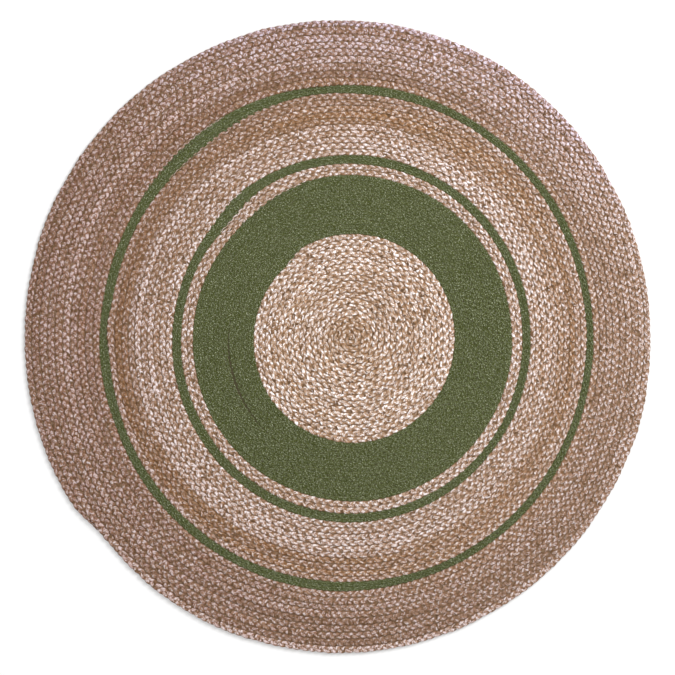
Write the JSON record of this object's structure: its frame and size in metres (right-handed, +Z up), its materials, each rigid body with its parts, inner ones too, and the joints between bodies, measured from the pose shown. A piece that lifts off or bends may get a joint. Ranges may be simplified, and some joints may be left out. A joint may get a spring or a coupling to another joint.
{
  "type": "round jute rug",
  "caption": "Round flat rug of plaited jute, coiled from the centre and sewn edge to edge, natural with a wide olive green band and narrow green rings.",
  "frame": {"origin": "middle of the rug's outline, on the floor it lies on", "axes": "+Z up from the floor, +X to the right and +Y away as the rug is seen from above with the colour changes at the upper left"},
  "size_m": [1.1945, 1.2083, 0.0085],
  "materials": {
    "natural_jute": "natural jute plait, coarse, with glossy pale fibres and brown grooves",
    "green_yarn": "matte olive green plait, fine and even"
  },
  "bodies": {
    "root": {"jute_centre": "natural_jute", "green_band": "green_yarn", "jute_pair": "natural_jute", "green_ring_inner": "green_yarn", "jute_middle": "natural_jute", "green_ring_outer": "green_yarn", "jute_border": "natural_jute"}
  },
  "joints": []
}
